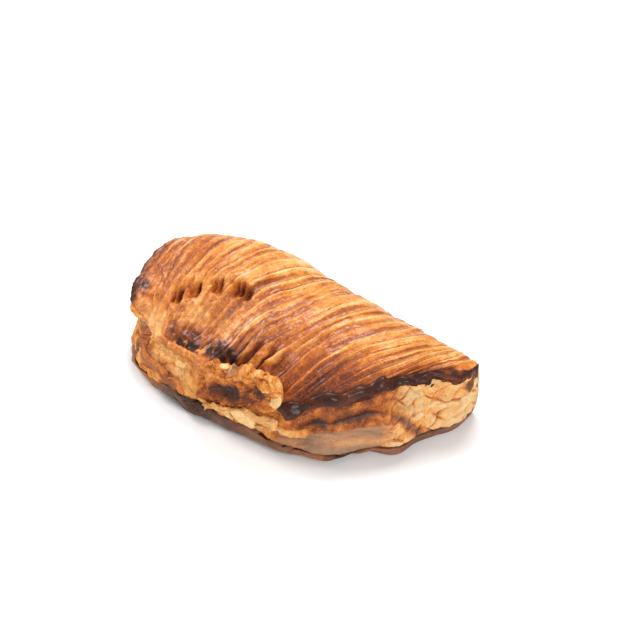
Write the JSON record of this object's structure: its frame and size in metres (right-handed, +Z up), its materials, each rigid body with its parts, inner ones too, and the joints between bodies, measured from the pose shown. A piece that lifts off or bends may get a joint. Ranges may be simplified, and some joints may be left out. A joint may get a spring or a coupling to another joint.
{
  "type": "apple turnover",
  "caption": "Half-moon puff pastry turnover with a domed scored crust, a layered sealed edge with a charred rim and a torn lip, resting flat.",
  "frame": {"origin": "middle of the bounding box at the level that the turnover rests on", "axes": "+X along the fold, towards the low end of the half moon, -Y towards the curved sealed edge, +Z up"},
  "size_m": [0.1456, 0.0772, 0.0494],
  "materials": {
    "pastry": "egg-washed baked crust, golden brown with charred edges and pale flaky layers"
  },
  "bodies": {
    "root": {"pastry": "pastry"}
  },
  "joints": []
}
